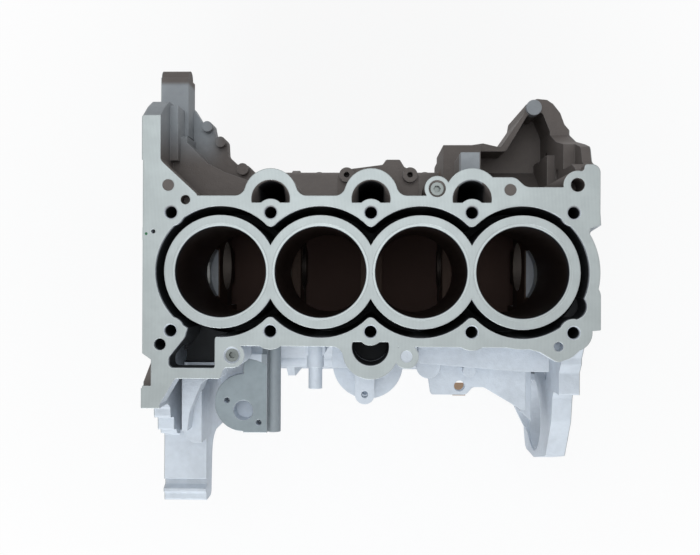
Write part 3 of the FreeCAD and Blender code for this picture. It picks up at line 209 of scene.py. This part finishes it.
def cutterMarksGroup():
    # face mill lay: wide faint arcs along the deck, broken up by noise
    tree, shade, given, out = addGroup("cutterMarks", {"Place": "vector"}, ("Mark",))
    spot = shade.split(given["Place"])
    sweep = shade.span(spot[0], spot[1], *cutterLook["centre"])
    lay = shade.calc("SINE", shade.calc("MULTIPLY", sweep, cutterLook["turns"]))
    broken = shade.noise(given["Place"], *cutterLook["breaks"])
    shade.wire(shade.calc("MULTIPLY_ADD", lay, cutterLook["strength"], broken), out["Mark"])
    return tree


def edgeFindGroup():
    # 1 on sharp outer and inner edges, from the difference between the rounded and the true normal
    tree, shade, given, out = addGroup("edgeFind", {"Rounded": "vector", "Reach": "value"}, ("Edge",))
    geometry = shade.node("ShaderNodeNewGeometry")
    dot = shade.node("ShaderNodeVectorMath", operation="DOT_PRODUCT")
    shade.wire(given["Rounded"], dot.inputs[0])
    shade.wire(geometry.outputs["True Normal"], dot.inputs[1])
    bend = shade.calc("SUBTRACT", 1.0, dot.outputs["Value"])
    shade.wire(shade.calc("MULTIPLY", bend, given["Reach"], clamp=True), out["Edge"])
    return tree


castPlaces = {
    # metres from the crank axis at the middle main bearing
    "boreLine": -0.008,
    "borePitch": 0.085,
    "level": 0.9,                       # a face whose normal points up by more than this is level
    "skim": 0.0002,                     # how far the finish of the deck reaches down its edge
    "sumpSkim": 0.0003,
    "endFaces": (-0.1935, 0.1925),      # the two ends are milled beyond these
    "pad": ((-0.115, -0.126), 0.040),   # middle, radius
    "padLevel": (deckZ - 0.046, 0.0004),
    "jacketSide": (0.0545, 0.0575),     # the water space fades out between these, from the bore line
    "jacketEnd": 0.1862,
    "inlet": ((-0.1725, -0.1305), (-0.0905, -0.050), None),
    "bolts": (0.05025, 0.0056),         # row of the head bolts from the bore line, radius
    "cornerHole": ((-0.179, -0.070), 0.0056),
    "waterFloor": (0.098, 0.104),
    "ports": (0.05365, 0.0169),         # row of the drain ports, radius
    "portRun": (-0.13, 0.13),
    "portThroat": (0.0100, 0.0128),     # the middle of a port in painted shade, and where its bare flares start
    "portShoulder": deckZ - 0.0155,
    "portFloor": 0.040,
    "returnPort": ((0.0, -0.0714), 0.0160),
    "returnFloor": 0.150,
    "lip": (deckZ - 0.006, deckZ - 0.0006),   # the painted shade in the passages fades out between these
    "caseTop": (0.070, 0.082),
    "caseWall": (0.094, 0.0985),
    "caseMiddle": 0.075,                # nearer to the crank than this, every face is darker
    "crosswise": 0.7,                   # and so is a face that points along the block by more than this
    "caseEnd": 0.1605,
    "bearing": ((0.0, 0.0), 0.0263),    # across and up, radius
    "breather": ((-0.008, 0.059), 0.0114),
    "exhaustSide": (0.040, 0.052),
    "flangeNotch": ((-0.210, -0.185), (-0.1058, -0.077), (deckZ - 0.031, deckZ - 0.001)),
    # where the painted light on the exhaust side lies
    "paintedLightAlong": (-0.158, -0.136),
    "paintedLightFrom": (0.085, 0.125),
    "paintedLightTo": (0.163, 0.168),
    "tab": ((0.0740, 0.0935), (0.060, 0.098), (deckZ - 0.020, deckZ + 0.001)),
    "peakBoss": ((0.158, 0.154), 0.0078),
    "peakBossHeight": (deckZ - 0.120, deckZ - 0.105),
    "column": ((-0.0985, -0.0815), (-0.160, -0.070), (deckZ - 0.1085, deckZ - 0.010)),
    "paint": (-0.191, 0.024),
    "paintEdge": (0.0010, 0.0014),
}


def deckMask(shade, spot, facing):
    level = shade.above(facing[2], castPlaces["level"])
    return shade.every(shade.above(spot[2], deckZ - castPlaces["skim"]), level)


def endMask(shade, spot):
    # the two end faces and the face the block stands on
    timingEnd, bellEnd = castPlaces["endFaces"]
    sump = shade.below(spot[2], floorZ + castPlaces["sumpSkim"])
    return shade.either(shade.below(spot[0], timingEnd), shade.above(spot[0], bellEnd), sump)


def padMask(shade, spot, facing):
    x, y, z = spot
    level = shade.above(facing[2], castPlaces["level"])
    atHeight = shade.calc("COMPARE", z, *castPlaces["padLevel"])
    return shade.every(shade.near(x, y, *castPlaces["pad"]), atHeight, level)


def hollowShadeMask(shade, spot):
    # painted shade inside the water space, the pump inlet, the ports and the head bolt holes
    x, y, z = spot
    acrossLine = shade.distance(shade.calc("SUBTRACT", y, castPlaces["boreLine"]))
    pitch = castPlaces["borePitch"]
    wrapped = shade.calc("FLOORED_MODULO", shade.calc("ADD", x, pitch / 2), pitch)
    folded = shade.calc("SUBTRACT", wrapped, pitch / 2)   # along the block from the nearest bulkhead
    sides = shade.fade(acrossLine, *castPlaces["jacketSide"])
    jacket = shade.every(sides, shade.below(shade.distance(x), castPlaces["jacketEnd"]))
    inlet = shade.inside(spot, castPlaces["inlet"])
    boltRow, boltReach = castPlaces["bolts"]
    bolts = shade.near(folded, acrossLine, (0.0, boltRow), boltReach)
    corner = shade.near(x, y, *castPlaces["cornerHole"])
    shadedHollows = shade.either(jacket, inlet, bolts, corner)
    shadedHollows = shade.every(shadedHollows, shade.ramp(z, *castPlaces["waterFloor"]))
    portRow, portReach = castPlaces["ports"]
    port = shade.near(folded, y, (0.0, portRow), portReach)
    port = shade.every(port, shade.within(x, *castPlaces["portRun"]))
    throat = shade.every(port, shade.fade(shade.distance(folded), *castPlaces["portThroat"]))
    deepShade = shade.every(port, shade.below(z, castPlaces["portShoulder"]))
    drains = shade.every(shade.either(throat, deepShade), shade.above(z, castPlaces["portFloor"]))
    back = shade.near(x, y, *castPlaces["returnPort"])
    back = shade.every(back, shade.above(z, castPlaces["returnFloor"]))
    return shade.every(shade.either(shadedHollows, drains, back), shade.fade(z, *castPlaces["lip"]))


def innerCaseMask(shade, spot, facing):
    # darker and browner on the crankcase faces that face the crank
    x, y, z = spot
    towards = shade.below(shade.calc("MULTIPLY", y, facing[1]), 0.0)
    crosswise = shade.above(shade.distance(facing[0]), castPlaces["crosswise"])
    close = shade.below(shade.distance(y), castPlaces["caseMiddle"])
    below = shade.fade(z, *castPlaces["caseTop"])
    inCase = shade.every(below, shade.fade(shade.distance(y), *castPlaces["caseWall"]))
    inBlock = shade.below(shade.distance(x), castPlaces["caseEnd"])
    return shade.every(inCase, shade.either(towards, crosswise, close), inBlock)


def seatMask(shade, spot):
    # painted highlight on the machined bearing bores and the breather passages through the bulkheads
    circles = (castPlaces["bearing"], castPlaces["breather"])
    return shade.either(*(shade.near(spot[1], spot[2], *circle) for circle in circles))


def dustAndShadeSideMask(shade, spot):
    # dust and painted shade on the exhaust side, and the same in the notch in the timing flange
    side = shade.ramp(spot[1], *castPlaces["exhaustSide"])
    return shade.either(side, shade.inside(spot, castPlaces["flangeNotch"]))


def paintedLightMask(shade, spot):
    # painted light on the mount lug and the flange beside it, the tab by the third port, and the boss at the
    # peak
    x, y, z = spot
    along = shade.fade(x, *castPlaces["paintedLightAlong"])
    start = shade.ramp(y, *castPlaces["paintedLightFrom"])
    end = shade.fade(y, *castPlaces["paintedLightTo"])
    boss = shade.near(x, y, *castPlaces["peakBoss"])
    boss = shade.every(boss, shade.within(z, *castPlaces["peakBossHeight"]))
    return shade.either(shade.every(along, start, end), shade.inside(spot, castPlaces["tab"]), boss)


def castMasksGroup():
    # where each finish, painted light and painted shade of the casting lies, from the place and the normal
    # in the block's frame
    tree, shade, given, out = addGroup(
        "castMasks",
        {"Place": "vector", "Normal": "vector"},
        ("Cut", "Pad", "HollowShade", "InnerCase", "SeatHighlight", "DustAndShadeSide", "PaintedLight", "ColumnShade", "Paint"),
    )
    spot = shade.split(given["Place"])
    facing = shade.split(given["Normal"])
    deck = deckMask(shade, spot, facing)
    fromDab = shade.span(spot[0], spot[1], *castPlaces["paint"])
    masks = {
        "Cut": shade.either(deck, endMask(shade, spot)),
        "Pad": padMask(shade, spot, facing),
        "HollowShade": hollowShadeMask(shade, spot),
        "InnerCase": innerCaseMask(shade, spot, facing),
        "SeatHighlight": seatMask(shade, spot),
        "DustAndShadeSide": dustAndShadeSideMask(shade, spot),
        "PaintedLight": paintedLightMask(shade, spot),
        "ColumnShade": shade.inside(spot, castPlaces["column"]),
        "Paint": shade.every(shade.fade(fromDab, *castPlaces["paintEdge"]), deck),
    }
    for title, mask in masks.items():
        shade.wire(mask, out[title])
    return tree


castSkin = castSkinGroup()
cutterMarks = cutterMarksGroup()
edgeFind = edgeFindGroup()
castMasks = castMasksGroup()


def newMaterial(name):
    material = bpy.data.materials.new(name)
    material.use_nodes = True
    material.node_tree.nodes.clear()
    shade = Shade(material.node_tree)
    surface = shade.node("ShaderNodeBsdfPrincipled")
    output = shade.node("ShaderNodeOutputMaterial")
    shade.wire(surface.outputs[0], output.inputs[0])
    place = shade.node("ShaderNodeTexCoord")
    return material, shade, surface, place


castLook = {
    "skin": rgb(0.62, 0.66, 0.71),            # bare casting
    "dustAndPaintedShade": rgb(0.150, 0.130, 0.120),    # partly dust and heat stain, partly painted shade, on the exhaust side
    "paintedLightColour": rgb(0.33, 0.35, 0.37),       # painted light on places on that side
    "machined": rgb(0.328, 0.358, 0.360),
    "columnShadeColour": rgb(0.31, 0.34, 0.36),            # painted shade on the half-round column
    # the machined pad is darker than the deck: painted shade of its lower place
    "pad": rgb(0.215, 0.250, 0.268),
    # painted shade in the water space, the ports and the holes
    "hollowShadeColour": rgb(0.012, 0.014, 0.017),
    "caseSkin": rgb(0.13, 0.085, 0.065),      # darker and browner inside the crankcase
    "seat": rgb(0.72, 0.73, 0.72),            # main bearing bores: machined metal, lightened as a painted highlight
    # worn bare metal and painted highlight along the edges
    "edge": rgb(0.86, 0.90, 0.92),
    "paint": rgb(0.02, 0.10, 0.045),          # inspector's dab
    "skinTone": (0.35, 0.65, 0.90, 1.05),     # tone from, to, and the brightness it gives
    "padTone": (0.35, 0.65, 0.90, 1.08),
    "cutterTone": (0.3, 0.7, 0.95, 1.04),
    "edgeRadius": 0.0011,
    "edgeReach": 2.2,
    "edgeWearAndHighlight": 0.60,
    "edgeLessOnShadedSide": 0.38,                    # how much less edge wear and painted highlight the exhaust side has
    "rough": 0.62,
    "roughFlat": 0.24,                        # how much smoother milled faces are
    "roughTone": 0.08,
    "metallic": 0.30,
    "metallicFlat": 0.50,                     # added on milled faces
    "layHeight": 0.02,
    "bump": 0.0006,
}


def castColour(shade, mask, tone, marks):
    # one layer over the other: skin, dust and painted shade on the exhaust side, painted light on patches
    # there, painted shade on the column, milled faces with painted shade on the pad, painted shade in
    # hollows, the darker inner crankcase, the painted highlight in the bearing bores, and the inspector's
    # dab
    cast = shade.blend(mask["DustAndShadeSide"], castLook["skin"], castLook["dustAndPaintedShade"])
    cast = shade.blend(shade.every(mask["PaintedLight"], mask["DustAndShadeSide"]), cast, castLook["paintedLightColour"])
    cast = shade.blend(mask["ColumnShade"], cast, castLook["columnShadeColour"])
    cast = shade.toned(cast, shade.ramp(tone, *castLook["skinTone"]))
    layers = {
        "Cut": shade.toned(castLook["machined"], shade.ramp(marks, *castLook["cutterTone"])),
        "Pad": shade.toned(castLook["pad"], shade.ramp(tone, *castLook["padTone"])),
        "HollowShade": castLook["hollowShadeColour"],
        "InnerCase": castLook["caseSkin"],
        "SeatHighlight": castLook["seat"],
        "Paint": castLook["paint"],
    }
    for title, finish in layers.items():
        cast = shade.blend(mask[title], cast, finish)
    return cast


def castAluminium():
    material, shade, surface, place = newMaterial("castAluminium")
    spot = place.outputs["Object"]
    mask = shade.group(castMasks, Place=spot, Normal=place.outputs["Normal"])
    skin = shade.group(castSkin, Place=spot, Grain=1.0)
    marks = shade.group(cutterMarks, Place=spot)["Mark"]
    flat = shade.either(mask["Cut"], mask["Pad"])
    rounded = shade.bevel(castLook["edgeRadius"])
    # worn bare metal and a painted highlight along the edges, less of both on the exhaust side
    edge = shade.group(edgeFind, Rounded=rounded, Reach=castLook["edgeReach"])["Edge"]
    openFaces = shade.rest(shade.either(mask["HollowShade"], mask["InnerCase"], mask["SeatHighlight"]))
    lessOnShadedSide = shade.calc("MULTIPLY", mask["DustAndShadeSide"], castLook["edgeLessOnShadedSide"])
    wearAndHighlight = shade.every(edge, openFaces, shade.calc("SUBTRACT", castLook["edgeWearAndHighlight"], lessOnShadedSide))
    metal = castColour(shade, mask, skin["Tone"], marks)
    shade.wire(shade.blend(wearAndHighlight, metal, castLook["edge"]), surface.inputs["Base Color"])
    smoother = shade.calc("MULTIPLY", flat, castLook["roughFlat"])
    cloudy = shade.calc("MULTIPLY", skin["Tone"], castLook["roughTone"])
    rough = shade.calc("SUBTRACT", castLook["rough"], smoother)
    shade.wire(shade.calc("ADD", rough, cloudy), surface.inputs["Roughness"])
    bright = shade.either(flat, mask["SeatHighlight"])
    shine = shade.calc("MULTIPLY_ADD", bright, castLook["metallicFlat"], castLook["metallic"])
    shade.wire(shade.every(shine, shade.rest(mask["HollowShade"])), surface.inputs["Metallic"])
    grain = shade.every(skin["Height"], shade.rest(flat))
    lay = shade.calc("MULTIPLY_ADD", shade.every(marks, flat), castLook["layHeight"], grain)
    shade.wire(shade.bump(lay, castLook["bump"], rounded), surface.inputs["Normal"])
    return material


linerLook = {
    # painted shade deep in the bore, and a cooler painted highlight near the top
    "deepShade": rgb(0.055, 0.040, 0.036),
    "upperHighlight": rgb(0.075, 0.085, 0.10),
    "change": (deckZ - 0.010, deckZ - 0.0005),    # heights between which the one becomes the other
    "rough": 0.38,
    "rimRough": -0.06,                            # added on the rim
    "metallic": 0.85,
    "edgeRadius": 0.0004,
    "bump": 0.0001,
}


def honedIron():
    # honed bore: dark iron, painted shade darker and browner deep down, a cooler painted highlight near the
    # top, and a rim milled with the deck
    material, shade, surface, place = newMaterial("honedIron")
    spot = place.outputs["Object"]
    height = shade.split(spot)[2]
    skin = shade.group(castSkin, Place=spot, Grain=1.0)
    rim = shade.above(height, deckZ - castPlaces["skim"])
    upperHighlight = shade.ramp(height, *linerLook["change"])
    colour = shade.blend(upperHighlight, linerLook["deepShade"], linerLook["upperHighlight"])
    shade.wire(shade.blend(rim, colour, castLook["machined"]), surface.inputs["Base Color"])
    rough = shade.calc("MULTIPLY_ADD", rim, linerLook["rimRough"], linerLook["rough"])
    shade.wire(rough, surface.inputs["Roughness"])
    surface.inputs["Metallic"].default_value = linerLook["metallic"]
    rounded = shade.bevel(linerLook["edgeRadius"])
    shade.wire(shade.bump(skin["Height"], linerLook["bump"], rounded), surface.inputs["Normal"])
    return material


plainLooks = {
    # slot: (name, colour, roughness, metallic, grain, edge radius)
    "cap_iron": ("capIron", rgb(0.10, 0.085, 0.075), 0.5, 0.7, 0.6, 0.0008),
    "bolt_steel": ("boltSteel", rgb(0.08, 0.08, 0.085), 0.42, 0.8, 0.2, 0.0004),
    "plug_steel": ("plugSteel", rgb(0.17, 0.185, 0.18), 0.34, 0.85, 0.3, 0.0004),
    "pin_steel": ("pinSteel", rgb(0.60, 0.61, 0.62), 0.25, 0.95, 0.1, 0.0004),
}
plainSkin = {"tone": (0.35, 0.65, 0.80, 1.10), "roughTone": 0.12, "bump": 0.0003}


def plainMetal(name, colour, rough, metallic, grain, edgeRadius):
    material, shade, surface, place = newMaterial(name)
    skin = shade.group(castSkin, Place=place.outputs["Object"], Grain=grain)
    tone = shade.ramp(skin["Tone"], *plainSkin["tone"])
    shade.wire(shade.toned(colour, tone), surface.inputs["Base Color"])
    change = plainSkin["roughTone"]
    cloudy = shade.calc("MULTIPLY_ADD", skin["Tone"], change, rough - change / 2)
    shade.wire(cloudy, surface.inputs["Roughness"])
    surface.inputs["Metallic"].default_value = metallic
    rounded = shade.bevel(edgeRadius)
    shade.wire(shade.bump(skin["Height"], plainSkin["bump"], rounded), surface.inputs["Normal"])
    return material


looks = {"cast_aluminium": castAluminium(), "liner_iron": honedIron()}
for slot, look in plainLooks.items():
    looks[slot] = plainMetal(*look)
for entry in frame["record"]["subparts"]:
    node = frame["nodes"][entry["node"]]
    node.data.materials.clear()
    node.data.materials.append(looks[entry["material_slot"]])
print("finishes set")

stageLook = {
    "reach": 6.0,
    "sink": 0.0002,           # how far the floor lies below the block
    "glow": (0.88, 1.0),      # how far the floor shines by itself, near and far: the rest keeps the shadow
    "glowSpan": (0.25, 0.75),
    "rough": 0.9,
    "pale": rgb(0.95, 0.95, 0.95),
    "bench": rgb(0.42, 0.27, 0.17),
    "benchPaintedShade": rgb(0.20, 0.125, 0.105),    # the first board, below the bores, darkened as painted shade
    # boards under the block: middle and half size, metres
    "boards": [
        ((0.0, 0.0), (0.175, 0.100)),
        ((0.1025, -0.142), (0.0075, 0.0075)),
        ((0.196, -0.139), (0.010, 0.019)),
    ],
}


def floorPaint():
    # pale, and brown where boards lie under the block; its own glow hides the horizon
    material, shade, surface, place = newMaterial("floorPaint")
    end = surface.outputs[0].links[0].to_socket
    spot = shade.split(place.outputs["Object"])
    boards = []
    for middle, half in stageLook["boards"]:
        limits = [(m - h, m + h) for m, h in zip(middle, half)]
        boards.append(shade.inside(spot, limits))
    under = shade.either(*boards)
    ground = shade.blend(under, stageLook["pale"], stageLook["bench"])
    ground = shade.blend(boards[0], ground, stageLook["benchPaintedShade"])
    shade.wire(ground, surface.inputs["Base Color"])
    surface.inputs["Roughness"].default_value = stageLook["rough"]
    away = shade.span(spot[0], spot[1], 0.0, 0.0)
    share = shade.ramp(away, *stageLook["glowSpan"], *stageLook["glow"])
    seen = shade.every(shade.seenAsBackground(), shade.rest(under), share)
    glow = shade.node("ShaderNodeEmission")
    shade.wire(shade.mixShaders(seen, surface.outputs[0], glow.outputs[0]), end)
    return material


def addFloor():
    reach = stageLook["reach"]
    signs = ((-1, -1), (1, -1), (1, 1), (-1, 1))
    mesh = bpy.data.meshes.new("floor")
    mesh.from_pydata([(a * reach, b * reach, floorZ) for a, b in signs], [], [(0, 1, 2, 3)])
    mesh.materials.append(floorPaint())
    floor = bpy.data.objects.new("floor", mesh)
    floor.location.z = -stageLook["sink"]
    bpy.context.collection.objects.link(floor)


addFloor()
print("floor laid")

lamps = {
    # name: (place, aimed at, size, watts, colour)
    "keySoft": ((-0.25, -1.5, 0.85), (0, 0, 0.10), 1.3, 16.0, (0.93, 0.97, 1.0)),
    "topSoft": ((-0.1, 0.45, 1.9), (0, 0, 0.2), 1.4, 9.0, (0.94, 0.98, 1.0)),
}


def addLamp(name, spot, target, size, watts, colour):
    lamp = bpy.data.lights.new(name, "AREA")
    lamp.shape = "DISK"
    lamp.size = size
    lamp.energy = watts
    lamp.color = colour
    holder = bpy.data.objects.new(name, lamp)
    holder.location = spot
    aim = Vector(target) - Vector(spot)
    holder.rotation_euler = aim.to_track_quat("-Z", "Y").to_euler()
    bpy.context.collection.objects.link(holder)


worldLook = {"tint": rgb(0.90, 0.95, 1.0), "ambient": 0.34, "white": rgb(1.0, 1.0, 1.0)}


def addWorld():
    # soft light all round, and plain white behind the block
    world = bpy.data.worlds.new("studio")
    bpy.context.scene.world = world
    world.use_nodes = True
    world.node_tree.nodes.clear()
    shade = Shade(world.node_tree)
    soft = shade.fill(shade.node("ShaderNodeBackground"), (worldLook["tint"], worldLook["ambient"]))
    white = shade.fill(shade.node("ShaderNodeBackground"), (worldLook["white"],))
    output = shade.node("ShaderNodeOutputWorld")
    shade.wire(shade.mixShaders(shade.seenAsBackground(), soft, white), output.inputs[0])


for name, lamp in lamps.items():
    addLamp(name, *lamp)
addWorld()
print("light set")

cameraLook = {
    "place": (0.00267, -0.01424, 0.87963),
    "turns": (-0.1377, -1.7104, -0.2267),    # degrees, about X, then Y, then Z
    "lens": 41.143,
    "sensor": 36.0,
    "nearest": 0.01,
}


def addCamera():
    camera = bpy.data.objects.new("camera", bpy.data.cameras.new("camera"))
    camera.data.sensor_width = cameraLook["sensor"]
    camera.data.lens = cameraLook["lens"]
    camera.data.clip_start = cameraLook["nearest"]
    turns = zip(cameraLook["turns"], "XYZ")
    turnX, turnY, turnZ = (Matrix.Rotation(math.radians(angle), 3, axis) for angle, axis in turns)
    turned = (turnZ @ turnY @ turnX).transposed().to_4x4()
    camera.matrix_world = Matrix.Translation(cameraLook["place"]) @ turned
    bpy.context.collection.objects.link(camera)
    bpy.context.scene.camera = camera


addCamera()
bpy.context.scene.view_settings.view_transform = "Standard"
print("camera set")
